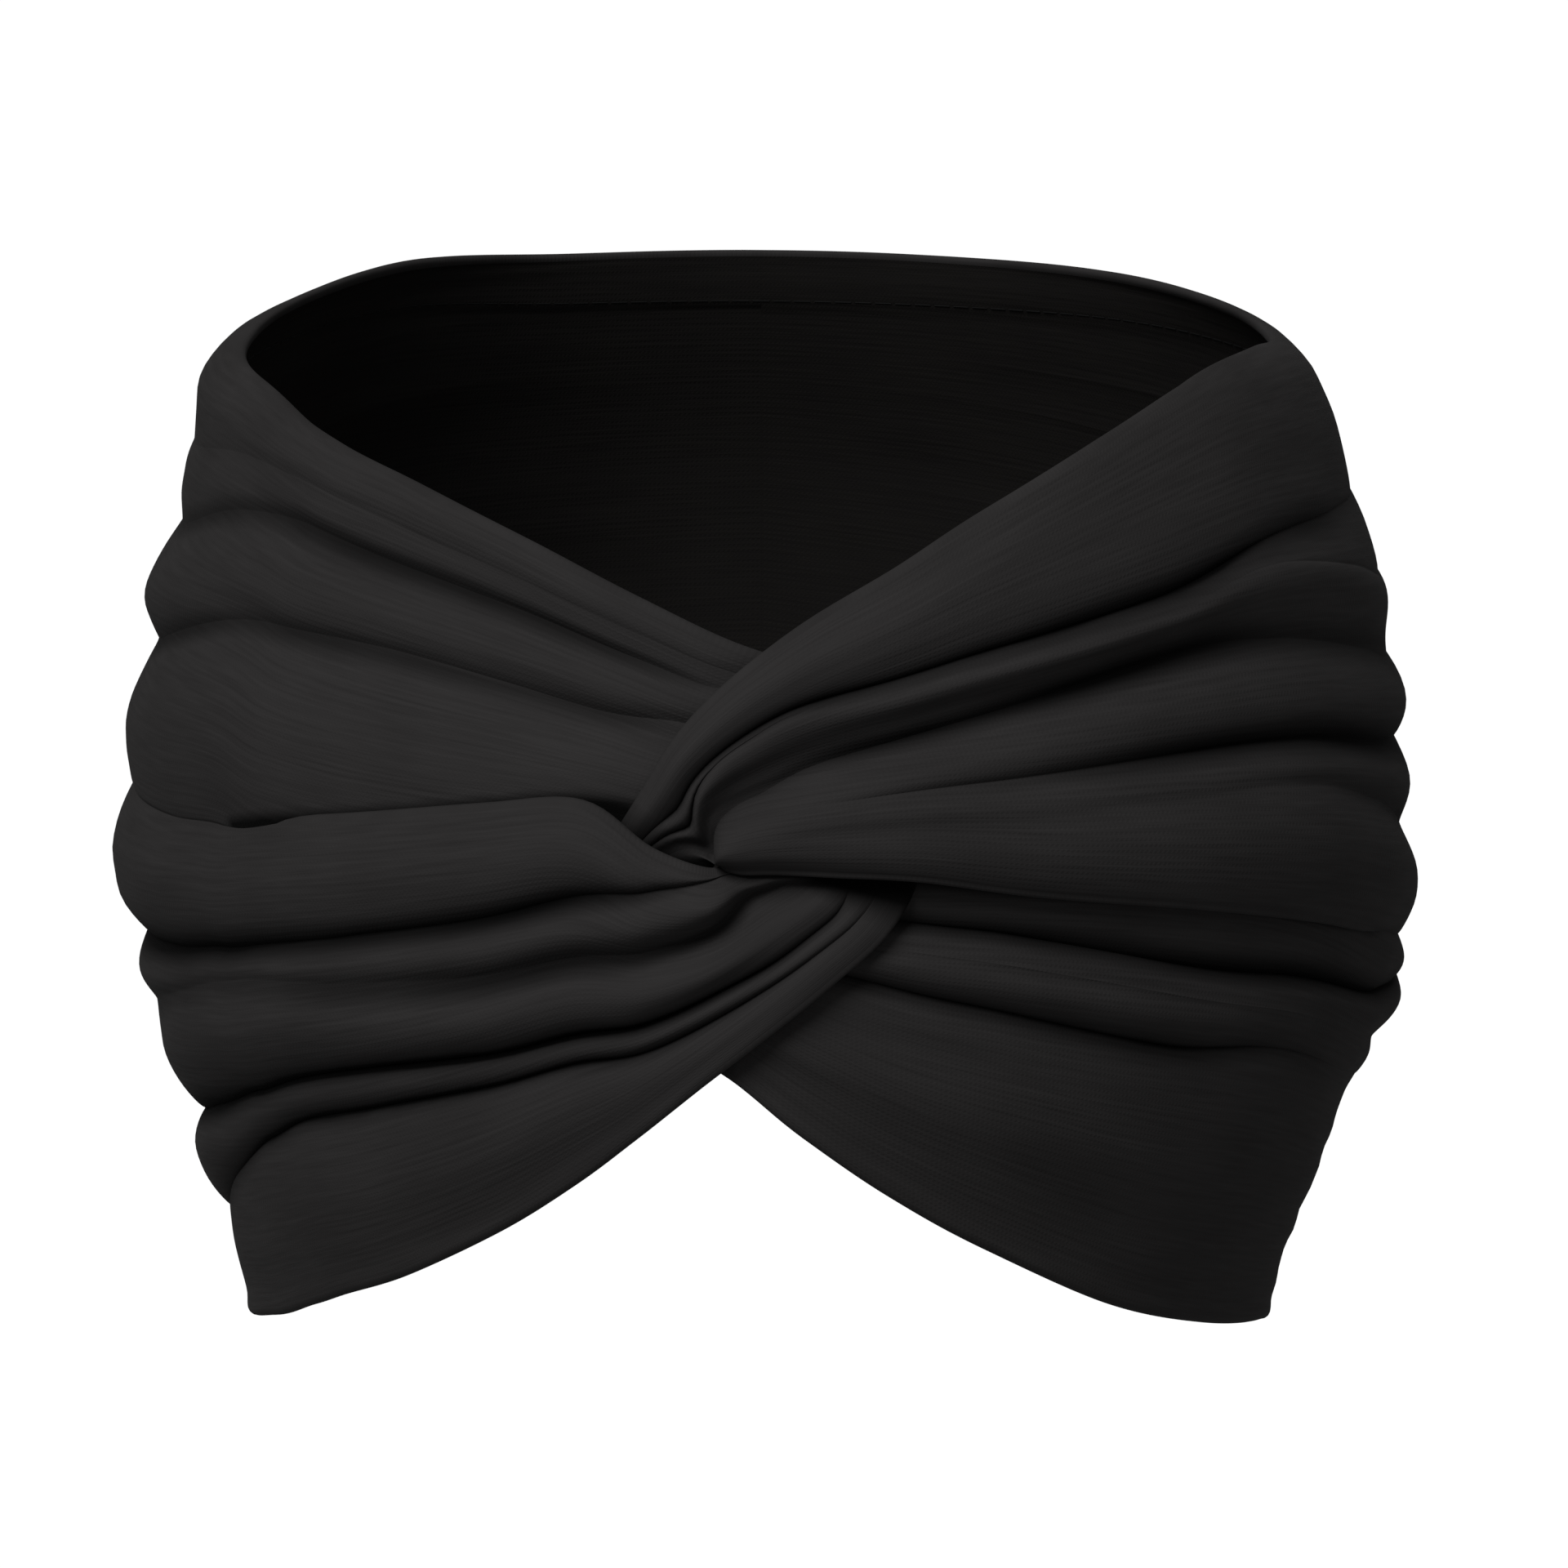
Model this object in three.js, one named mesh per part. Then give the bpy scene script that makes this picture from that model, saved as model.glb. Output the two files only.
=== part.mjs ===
// A wide twist-front headband of black jersey, as it sits on a head.
// Two bands of cloth, left and right, run round from a seam at the back of the head.
// At the front each one is folded back through the other, so that they hang as two linked loops:
// the right band's upper leg lies over the left band and dives under the left band's lower leg,
// and the left band's lower leg lies over the right band and dives under the right band's upper leg.
// Millimetres and degrees. +Z is up, the twist faces -Y, and angles run from the front to the right.
import * as THREE from "three";

// Driving sizes
const WALL = 1.8; // two layers of jersey, measured level
const EDGE_ROUND = 0.7; // how far the folded edge of the cloth stands out past its last crease
const BACK = 179.9; // the bands' ends stop just short of each other at the back seam
const DEPTH_RATIO = 1.13; // a head is longer from front to back than it is wide
const STEPS = 2; // rows of facets between two sections of a table
const CLOTH = { color: 0x1b1b1b, roughness: 0.9, metalness: 0 };

// A table with named columns, as one object for each row.
function table(columns, ...rows) {
  return rows.map((row) =>
    Object.fromEntries(columns.map((name, i) => [name, row[i]])),
  );
}

// The head form that the bands are stretched over: half its width at each height.
const HEAD_FORM = table(
  ["z", "halfWidth"],
  [-75, 68],
  [-66, 69.6],
  [-42, 76.7],
  [-14, 85],
  [8, 86],
  [38, 83],
  [70, 73.5],
  [82, 69],
);

// Sections across each band, from the back seam along one leg to the twist and back along the other.
// "in" is the edge towards the slit between the legs and "out" is the rim or the hem.
// Lift is how far the cloth stands off the head form, and stage picks the folds:
// 0 back of the head, 1 side, 2 front, 3 at the twist and 4 hidden inside it.
// Where joined is 1 the two legs are one cloth and have no slit between them.
const SECTION = ["stage", "joined", "inAngle", "inZ", "outAngle", "outZ", "inLift", "outLift"];

const LEFT_SECTIONS = table(
  SECTION,
  // upper leg
  [0.0, 1, -BACK, 16, -BACK, 74, 0, 0],
  [0.1, 1, -157, 15, -157, 73.6, 0, 0],
  [0.4, 1, -134, 13, -134, 72, 0, 0],
  [0.7, 1, -112, 10.6, -112, 69.2, 0, 0],
  [1.0, 1, -90, 9.5, -90, 67.5, 0, 0],
  [1.6, 1, -66, 11, -66, 68, 0, 0],
  [2.0, 1, -54, 12.7, -53, 64.3, 0, 0],
  [2.3, 0, -36, 15, -35, 59.3, 0, 0],
  [2.6, 0, -23, 17.5, -22, 53.6, 0, 0],
  [2.9, 0, -15.5, 20, -11, 47.2, 0, 0],
  [3.3, 0, -11, 20.4, -3, 42.2, 0, 0],
  // loop behind the right band's upper leg
  [4.0, 0, -7.5, 19.4, 3.5, 38.6, 0, 0],
  [4.0, 0, -4.4, 18.6, 10.5, 34, 0, 0],
  [4.0, 0, -2, 17.8, 13.5, 26, 0, 0],
  [4.0, 0, -0.4, 16, 14, 18, 0.9, 0.9],
  // lower leg
  [4.0, 0, 0.6, 14.2, 12.6, 11.6, 2.3, 2.3],
  [3.3, 0, -0.2, 13.4, 10, 6.2, 2.6, 2.6],
  [3.0, 0, -1.8, 13.2, 5.6, 0.4, 3.2, 3],
  [3.0, 0, -4, 14.2, -3, -11.2, 4.6, 2.8],
  [2.9, 0, -8.4, 16.8, -10, -20.5, 4.9, 1.6],
  [2.7, 0, -14, 22.2, -16.5, -28.2, 3.9, 0.5],
  [2.5, 0, -23, 20.9, -25, -37, 2.4, 0],
  [2.3, 0, -36, 17.6, -37, -46, 2.2, 0],
  [2.0, 1, -54, 12.7, -54, -55, 0, 0],
  [1.6, 1, -66, 11, -66, -59.4, 0, 0],
  [1.0, 1, -90, 9.5, -90, -65, 0, 0],
  [0.7, 1, -112, 10.6, -112, -61.5, 0, 0],
  [0.4, 1, -134, 13, -134, -53.5, 0, 0],
  [0.1, 1, -157, 15, -157, -45.2, 0, 0],
  [0.0, 1, -BACK, 16, -BACK, -42, 0, 0],
);

const RIGHT_SECTIONS = table(
  SECTION,
  // upper leg
  [0.0, 1, BACK, 16, BACK, 74, 0, 0],
  [0.1, 1, 157, 11, 157, 73.6, 0, 0],
  [0.4, 1, 134, 2, 134, 72.6, 0, 0],
  [0.7, 1, 112, -7, 112, 71.4, 0, 0],
  [1.0, 1, 90, -12, 90, 71.5, 0, 0],
  [1.5, 1, 74, -7.3, 71, 73, 0, 0],
  [1.9, 0, 55, 0.6, 54, 71, 2.2, 0],
  [2.3, 0, 39, 5.7, 38, 65.4, 2.6, 0],
  [2.6, 0, 23, 9.4, 22, 57.2, 3, 0.4],
  [2.8, 0, 13, 12.2, 12, 50.3, 4.8, 1.2],
  [2.9, 0, 6, 13.6, 5, 45.2, 5, 2],
  [3.0, 0, 1.4, 15, 0, 40.3, 4.7, 2.8],
  [3.0, 0, -1.2, 16, -4, 36.4, 3.8, 3.2],
  [3.1, 0, -2.6, 16.4, -7, 31.2, 3, 3.2],
  [3.4, 0, -3.6, 16.3, -9.2, 25, 2.5, 2.8],
  [4.0, 0, -4.4, 15.4, -11, 19.2, 2.3, 2.3],
  // loop behind the left band's lower leg
  [4.0, 0, -4.4, 13.8, -14, 12.5, 0.7, 0.7],
  [4.0, 0, -3.6, 12.6, -14.5, 3, 0, 0],
  [4.0, 0, -2.2, 11.6, -10.5, -6, 0, 0],
  [3.6, 0, 0.6, 11.2, -3, -11.4, 0, 0],
  // lower leg
  [3.0, 0, 6, 11, 4, -20.2, 0, 0],
  [2.8, 0, 13, 10.4, 12, -29, 0, 0],
  [2.6, 0, 23, 10.6, 22, -38.4, 0, 0],
  [2.3, 0, 39, 7.6, 38, -49.4, 0, 0],
  [1.9, 0, 55, 1.4, 55, -56.7, 0, 0],
  [1.5, 1, 74, -7.3, 74, -62.2, 0, 0],
  [1.0, 1, 90, -12, 90, -65, 0, 0],
  [0.7, 1, 112, -7, 112, -61.5, 0, 0],
  [0.4, 1, 134, 2, 134, -53.5, 0, 0],
  [0.1, 1, 157, 11, 157, -45.2, 0, 0],
  [0.0, 1, BACK, 16, BACK, -42, 0, 0],
);

// Folds across each leg, from the slit to the rim or hem, with values at stages 0 to 3.
// share is the part of the leg's width that a fold takes, puff is how far it stands out,
// and level is how high the crease on its outer side lies above the cloth's own lift.
const FOLD = ["name", "facets", "share", "puff", "level"];

const LEFT_UPPER = table(
  FOLD,
  ["middle", 7, [0.4, 0.33, 0.54, 0.6], [0, 2.2, 2.4, 1.0], [0, 0.2, 0.2, 0.1]],
  ["second", 6, [0.3, 0.27, 0.24, 0.21], [0, 2.2, 1.8, 0.8], [0, 0.4, 0.2, 0.1]],
  ["rim", 7, [0.3, 0.4, 0.22, 0.19], [0, 0.8, 1.4, 0.8], [0, 0, 0, 0]],
);

const LEFT_LOWER = table(
  FOLD,
  ["flap", 4, [0.25, 0.27, 0.25, 0.05], [0, 3.2, 3, 1.2], [0, 0, 0, 0]],
  ["second", 4, [0.15, 0.14, 0.1, 0.25], [0, 2, 1.8, 3.2], [0, 0.2, 0.6, 0.8]],
  ["middle", 4, [0.2, 0.21, 0.21, 0.33], [0, 2.4, 3, 3], [0, 0, 0, 0.2]],
  ["roll", 4, [0.2, 0.2, 0.09, 0.14], [0, 2.2, 1.8, 1.6], [0, 0, 0, 0.2]],
  ["hem", 4, [0.2, 0.18, 0.35, 0.23], [0, 0.8, 1.6, 1.2], [0, 0, 0, 0]],
);

const RIGHT_UPPER = table(
  FOLD,
  ["lobe", 4, [0.25, 0.19, 0.25, 0.16], [0, 2.4, 3.4, 3], [0, 0.3, 2.4, 2.4]],
  ["lobe_top", 3, [0.15, 0.15, 0.08, 0.1], [0, 2, 1.2, 1.6], [0, 0.3, 1.6, 2.4]],
  ["second", 3, [0.1, 0.13, 0.2, 0.16], [0, 2, 2.4, 2], [0, 0, 0, 0]],
  ["third", 4, [0.15, 0.14, 0.1, 0.16], [0, 0.8, 1.6, 1.6], [0, 0.3, 1, 0.4]],
  ["fourth", 2, [0.1, 0.14, 0.06, 0.14], [0, 0.6, 1, 1.2], [0, 0.2, 0.3, 0.2]],
  ["rim", 4, [0.25, 0.25, 0.31, 0.28], [0, 0.4, 2, 1.6], [0, 0, 0, 0]],
);

const RIGHT_LOWER = table(
  FOLD,
  ["tuck", 4, [0.15, 0.12, 0.18, 0.15], [0, 1.6, 1.4, 0.6], [0, 0, 0, 0]],
  ["second", 4, [0.15, 0.15, 0.08, 0.12], [0, 2, 1.2, 0.5], [0, 0.2, 0.4, 0]],
  ["third", 5, [0.1, 0.1, 0.13, 0.18], [0, 1, 1.6, 0.8], [0, 0.2, 0, 0]],
  ["hem", 7, [0.6, 0.63, 0.61, 0.55], [0, 1, 2, 1], [0, 0, 0, 0]],
);

// A smooth value between rows of a table: Catmull-Rom between four neighbours.
function along(rows, column, at) {
  const i = Math.min(Math.floor(at), rows.length - 2);
  const [a, b, c, d] = [i - 1, i, i + 1, i + 2].map(
    (j) => rows[THREE.MathUtils.clamp(j, 0, rows.length - 1)][column],
  );
  const t = at - i;
  const bend = (2 * a - 5 * b + 4 * c - d) * t * t + (3 * b - a - 3 * c + d) * t * t * t;
  return b + 0.5 * ((c - a) * t + bend);
}

// Half the head form's width at a height, on a smooth line through its table.
function halfWidth(z) {
  const last = HEAD_FORM.length - 1;
  const i = THREE.MathUtils.clamp(HEAD_FORM.findIndex((row) => row.z > z) - 1, 0, last - 1);
  const share = (z - HEAD_FORM[i].z) / (HEAD_FORM[i + 1].z - HEAD_FORM[i].z);
  return along(HEAD_FORM, "halfWidth", i + share);
}

// A point that stands off the head form, level and square to its oval.
function onHead(angle, z, lift) {
  const turn = THREE.MathUtils.degToRad(angle);
  const wide = halfWidth(z);
  const deep = wide * DEPTH_RATIO;
  const out = new THREE.Vector3(Math.sin(turn) / wide, -Math.cos(turn) / deep, 0).normalize();
  return new THREE.Vector3(wide * Math.sin(turn), -deep * Math.cos(turn), z).addScaledVector(out, lift);
}

// A fold's value at a stage, between its values at the whole stages. Hidden cloth has its own value.
function atStage(values, hidden, stage) {
  const all = [...values, hidden];
  const i = Math.min(Math.floor(stage), all.length - 2);
  return THREE.MathUtils.lerp(all[i], all[i + 1], THREE.MathUtils.smoothstep(stage - i, 0, 1));
}

// Where each column of facets lies across a leg, from 0 at the slit to 1 at the edge, and its height.
function columnsAcross(folds, stage) {
  const facets = folds.reduce((sum, fold) => sum + fold.facets, 0);
  const shares = folds.map((fold) => atStage(fold.share, fold.facets / facets, stage));
  const whole = shares.reduce((sum, share) => sum + share, 0);
  const columns = [{ across: 0, height: 0 }];
  let start = 0;
  let startLevel = 0;
  folds.forEach((fold, f) => {
    const width = shares[f] / whole;
    const puff = atStage(fold.puff, 0, stage);
    const level = atStage(fold.level, 0, stage);
    for (let k = 1; k <= fold.facets; k++) {
      const part = k / fold.facets;
      const arch = Math.pow(Math.sin(Math.PI * Math.min(part, 1 - 1e-9)), 0.8);
      const height = THREE.MathUtils.lerp(startLevel, level, part) + puff * arch;
      columns.push({ across: start + width * part, height });
    }
    start += width;
    startLevel = level;
  });
  return columns;
}

// The rows of points of one band: on its face, on its lining side, and at the noses of its edges.
function bandRows(sections, upperFolds, lowerFolds) {
  const intervals = sections.length - 1;
  const rows = [];
  for (let n = 0; n <= intervals * STEPS; n++) {
    const at = n / STEPS;
    const i = Math.min(Math.floor(at), intervals - 1);
    const stage = THREE.MathUtils.lerp(sections[i].stage, sections[i + 1].stage, at - i);
    const joined = at === i ? sections[i].joined : sections[i].joined && sections[i + 1].joined;
    const ends = {};
    for (const column of ["inAngle", "inZ", "outAngle", "outZ", "inLift", "outLift"])
      ends[column] = along(sections, column, at);
    rows.push({ at, stage, joined, ends });
  }
  rows[rows.length - 1].joined = 1;
  // one cloth: the lower leg's inner edge is the upper leg's
  rows.forEach((row, n) => {
    const twin = rows[rows.length - 1 - n];
    if (row.joined && n > rows.length / 2)
      for (const column of ["inAngle", "inZ", "inLift"]) row.ends[column] = twin.ends[column];
  });
  const turn = sections.findIndex((row) => row.stage === 4) + 1;
  return rows.map(({ at, stage, joined, ends }) => {
    const { inAngle, inZ, outAngle, outZ, inLift, outLift } = ends;
    const point = (across, height) =>
      onHead(
        THREE.MathUtils.lerp(inAngle, outAngle, across),
        THREE.MathUtils.lerp(inZ, outZ, across),
        THREE.MathUtils.lerp(inLift, outLift, across) + height,
      );
    const columns = columnsAcross(at < turn ? upperFolds : lowerFolds, stage);
    const past = EDGE_ROUND / Math.hypot(outZ - inZ, outAngle - inAngle);
    return {
      joined,
      face: columns.map((c) => point(c.across, c.height + WALL / 2)),
      lining: columns.map((c) => point(c.across, c.height - WALL / 2)),
      edgeNose: point(1 + past, 0),
      slitNose: point(-past, 0),
    };
  });
}

// One band as a closed solid: its two faces, its rounded edges, its slit and its sewn ends.
function bandGeometry(sections, upperFolds, lowerFolds, mirrored) {
  const rows = bandRows(sections, upperFolds, lowerFolds);
  const corners = [];
  const triangle = (a, b, c) => corners.push(a, ...(mirrored ? [c, b] : [b, c]));
  const quad = (a, b, c, d) => {
    triangle(a, b, c);
    triangle(a, c, d);
  };
  const last = rows[0].face.length - 1;
  for (let n = 0; n + 1 < rows.length; n++) {
    const [p, q] = [rows[n], rows[n + 1]];
    for (let k = 0; k < last; k++) {
      quad(p.face[k], q.face[k], q.face[k + 1], p.face[k + 1]);
      quad(p.lining[k], p.lining[k + 1], q.lining[k + 1], q.lining[k]);
    }
    quad(p.face[last], q.face[last], q.edgeNose, p.edgeNose);
    quad(p.edgeNose, q.edgeNose, q.lining[last], p.lining[last]);
    if (!p.joined && !q.joined) {
      quad(p.slitNose, q.slitNose, q.face[0], p.face[0]);
      quad(p.lining[0], q.lining[0], q.slitNose, p.slitNose);
    } else if (!q.joined) {
      triangle(q.slitNose, q.face[0], p.face[0]);
      triangle(q.slitNose, p.face[0], p.lining[0]);
      triangle(q.slitNose, p.lining[0], q.lining[0]);
    } else if (!p.joined) {
      triangle(p.slitNose, q.face[0], p.face[0]);
      triangle(p.slitNose, q.lining[0], q.face[0]);
      triangle(p.slitNose, p.lining[0], q.lining[0]);
    }
  }
  const sewnEnd = ({ face, lining, edgeNose }, outwards) => {
    const turned = (a, b, c, d) => (outwards ? quad(a, b, c, d) : quad(d, c, b, a));
    for (let k = 0; k < last; k++) turned(face[k], face[k + 1], lining[k + 1], lining[k]);
    if (outwards) triangle(face[last], edgeNose, lining[last]);
    else triangle(lining[last], edgeNose, face[last]);
  };
  sewnEnd(rows[0], true);
  sewnEnd(rows[rows.length - 1], false);
  const geometry = new THREE.BufferGeometry().setFromPoints(corners);
  geometry.computeVertexNormals();
  return geometry;
}

function band(name, geometry) {
  const mesh = new THREE.Mesh(geometry, new THREE.MeshStandardMaterial(CLOTH));
  mesh.name = name;
  return mesh;
}

const headband = new THREE.Group();
headband.add(
  band("left_band", bandGeometry(LEFT_SECTIONS, LEFT_UPPER, LEFT_LOWER, false)),
  band("right_band", bandGeometry(RIGHT_SECTIONS, RIGHT_UPPER, RIGHT_LOWER, true)),
);

export default headband;
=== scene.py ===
from math import cos, log, pi, radians, sin

import bpy
import numpy as np
from bpy.props import FloatProperty, FloatVectorProperty, IntProperty, PointerProperty
from mathutils import Matrix, Vector


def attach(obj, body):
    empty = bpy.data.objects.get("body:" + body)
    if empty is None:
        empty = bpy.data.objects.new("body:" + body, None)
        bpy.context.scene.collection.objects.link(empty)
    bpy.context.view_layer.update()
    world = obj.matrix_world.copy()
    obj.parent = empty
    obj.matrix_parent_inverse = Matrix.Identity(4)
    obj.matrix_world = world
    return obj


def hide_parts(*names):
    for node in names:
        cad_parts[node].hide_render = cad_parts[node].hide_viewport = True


bl_info = {
    "name": "Twist headband",
    "version": (1, 0, 0),
    "blender": (4, 5, 0),
    "location": "3D View > Sidebar > Headband",
    "description": "Builds a wide twist-front headband of gathered black jersey",
    "category": "Add Mesh",
}

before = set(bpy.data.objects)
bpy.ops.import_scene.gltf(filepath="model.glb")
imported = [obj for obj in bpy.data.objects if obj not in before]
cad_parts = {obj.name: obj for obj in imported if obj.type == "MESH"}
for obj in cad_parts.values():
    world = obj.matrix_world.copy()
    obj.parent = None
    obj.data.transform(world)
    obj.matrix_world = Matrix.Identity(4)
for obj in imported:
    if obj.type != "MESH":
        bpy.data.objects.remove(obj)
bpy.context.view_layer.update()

MM = 0.001
LENGTH = {"unit": "LENGTH", "precision": 4}
COLOUR = {"subtype": "COLOR", "size": 4}


def table(columns, *rows):
    """A table with named columns, as one dict for each row."""
    return [dict(zip(columns, row)) for row in rows]


def linear(code):
    """An sRGB hex colour as a linear colour with alpha."""
    parts = [int(code[i : i + 2], 16) / 255 for i in (1, 3, 5)]
    return [c / 12.92 if c <= 0.04045 else ((c + 0.055) / 1.055) ** 2.4 for c in parts] + [1.0]


# The head form that the bands are stretched over, in millimetres.
HEAD_FORM = table(
    ("z", "half_width"),
    (-75, 68),
    (-66, 69.6),
    (-42, 76.7),
    (-14, 85),
    (8, 86),
    (38, 83),
    (70, 73.5),
    (82, 69),
)
DEPTH_RATIO = 1.13  # a head is longer from front to back than it is wide
BACK = 180  # angle of the back seam, in degrees from the front

# How the cloth lies, in millimetres where no other unit is named.
ARC = 1.55  # cloth for each degree round the head
UPPER_WIDTH = 62.0  # an upper leg's cloth, laid flat
LOWER_WIDTH = 66.0  # a lower leg's cloth, laid flat
HIDDEN = 7  # stage of the cloth inside the twist
OUT_OF_SIGHT = 6.5  # stage at which the wrinkles and the soft roll along the edge have died out
SLIT_PINCH = 0.7  # pinch at the slit's edge
LOBE_ROUND = 0.8  # below 1 the broad roll is fuller than a sine
LEAST_ROWS = 4  # mesh rows from one section to the next, where the sections are close
END_ROW = 0.003  # place of the mesh row beside a sewn end, as part of the way to the next section
EDGE_NOSE = (60, 30, 0, -30, -60)  # mesh lanes round an edge of the cloth, in degrees
BEAD_REACH = 1.7  # from the edge to where the soft roll along it is a third as high
SEAM_REACH = 2.4  # from the back seam to where its hollow is a third as deep
HEM_SLOPE = 0.8  # across the sewn edge of the rim's hem
HEM_FULL = 3.0  # below the rim, where the hem has its full thickness
HEM_LOWEST = 60  # height of the rim down to which it has a hem

# Small wrinkles, each with its length along the band and across it.
SMALL_WRINKLE = (26, 3.4)
BROAD_WRINKLE = (45, 9)
SMALL_SHARE = 0.45  # height of the small ones, as part of the broad ones'
BACK_SHARE = 0.35  # height of both at the back, as part of that at the front
SEAM_CALM = 15  # degrees from the back seam over which they rise
EDGE_CALM = 5.0  # width from an edge over which they rise
NOISE_CELLS = 64  # after this many cells each way the noise repeats
RIGHT_START = 20  # noise cells by which the right band's wrinkles are moved on

# Painted shade: darker colour in creases, on tucked cloth and in the twist, where shade falls. reach and
# blur count places across a leg. start and full are depths.
CREASE_PLACES = 241  # even places across a leg
CREASE_SPREAD = 2  # places by which a crease's shade is widened
VALLEY = {"reach": 15, "blur": 6, "start": 0.0, "full": 2.1}
CRACK = {"reach": 4, "blur": 3, "start": 0.3, "full": 0.72}
ROW_BLUR = 3  # mesh rows each way along the band over which the shade is evened out
FREE_EDGE = 4.0  # width along a free edge over which the shade comes in
TUCK_PAINTED_SHADE = 1.9  # how far the painted shade on tucked cloth reaches out past the leg that covers it
DIVE_START = 6.3  # stage at which the painted shade on cloth diving into the twist starts
DIVE_FULL = 6.9  # stage at which that painted shade is full

# Looks of the jersey and its thread, in millimetres where no other unit is named.
STREAK_LENGTH = 16  # a streak of pulled knit
STREAK_WIDTH = 0.7
CLOUD = 20  # clouding of the dye
WALE = 0.9  # one column of knit loops, a little coarse so that it shows
COURSE = 0.7  # one row of knit loops
BLOOM = 0.005  # sheen of the fibre ends on the outside, as a weight from 0 to 1
PLY = 0.4  # one ply of the thread

FLOOR_REACH = 12.0  # half the floor's width, in metres
SENSOR_WIDTH = 36  # camera sensor, in millimetres

# Sections across each band, from the back seam along one leg to the twist and back along the other.
# in is the edge towards the slit between the legs, out is the rim or the hem. Angles are in degrees
# from the front, heights and lifts off the head form in millimetres. Stages pick the folds:
# 0 back of the head, 1 side, 2 flank, 3 front, 4 near the twist, 5 and 6 in it, 7 hidden inside it.
# Where joined is 1 the two legs are one cloth and have no slit between them. tucked is how much of
# the leg lies hidden under the other one, from the slit's edge on.
SECTION = ("stage", "joined", "in_angle", "in_z", "out_angle", "out_z", "in_lift", "out_lift", "tucked")

LEFT_SECTIONS = table(
    SECTION,
    # upper leg
    (0.0, 1, -BACK, 16, -BACK, 72.4, 0, 0, 0),
    (0.1, 1, -157, 15, -157, 72.8, 0, 0, 0),
    (0.4, 1, -134, 13, -134, 74.4, -0.3, 0, 0),
    (0.7, 1, -112, 10.6, -112, 72.2, -0.7, 0.8, 0),
    (1.0, 1, -90, 9.5, -90, 69.4, -1, 1.2, 0),
    (1.6, 1, -66, 11, -66, 67.8, -0.5, 0.6, 0),
    (2.0, 1, -54, 12.7, -53, 64.3, 0, 0, 0),
    (2.4, 0, -47, 10.4, -46, 62.5, -0.4, 0, 4.6),
    (3.0, 0, -36, 9.6, -35, 59.3, -1.6, 0, 8.2),
    (3.6, 0, -23, 10.5, -22, 53.6, -1.8, 0, 10.6),
    (4.1, 0, -15.5, 12, -11, 47.2, -1, 0, 10.6),
    (5.2, 0, -11, 12.5, -3, 42.2, 0, 0, 9),
    # loop behind the right band's upper leg
    (7.0, 0, -7.5, 15, 3.5, 38.6, 0, -1.6, 0),
    (7.0, 0, -4.4, 16, 10.5, 34, -0.4, -2.6, 0),
    (7.0, 0, -2, 16.4, 13.5, 26, -0.4, -2.6, 0),
    (7.0, 0, -0.4, 16, 14, 18, 0.6, -0.6, 0),
    # lower leg
    (7.0, 0, 0.6, 15.6, 12.6, 11.6, 1.6, 1.4, 0),
    (6.3, 0, -0.2, 15.2, 10, 6.2, 1.8, 2.6, 0),
    (6.0, 0, -1.8, 14.7, 5.6, 0.4, 2.2, 3, 0),
    (5.0, 0, -4, 14.3, -3, -10.7, 4.2, 2.8, 0),
    (4.5, 0, -8.4, 16.8, -10, -20, 4.7, 1.6, 0),
    (4.0, 0, -14.2, 22.3, -16.5, -27.7, 4.1, 0.5, 0),
    (3.6, 0, -23, 20.9, -25, -35.7, 3.2, 0, 0),
    (3.0, 0, -36, 17.6, -37, -44.3, 2.8, 0, 0),
    (2.4, 0, -47, 14.6, -47.5, -49.8, 0.9, 0, 0),
    (2.0, 1, -54, 12.7, -54, -53.1, 0, 0, 0),
    (1.6, 1, -66, 11, -66, -58.4, -0.5, 0, 0),
    (1.0, 1, -90, 9.5, -90, -65, -1, 0, 0),
    (0.7, 1, -112, 10.6, -112, -61.5, -0.7, 0, 0),
    (0.4, 1, -134, 13, -134, -53.5, -0.3, 0, 0),
    (0.1, 1, -157, 15, -157, -45.2, 0, 0, 0),
    (0.0, 1, -BACK, 16, -BACK, -42, 0, 0, 0),
)

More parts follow.
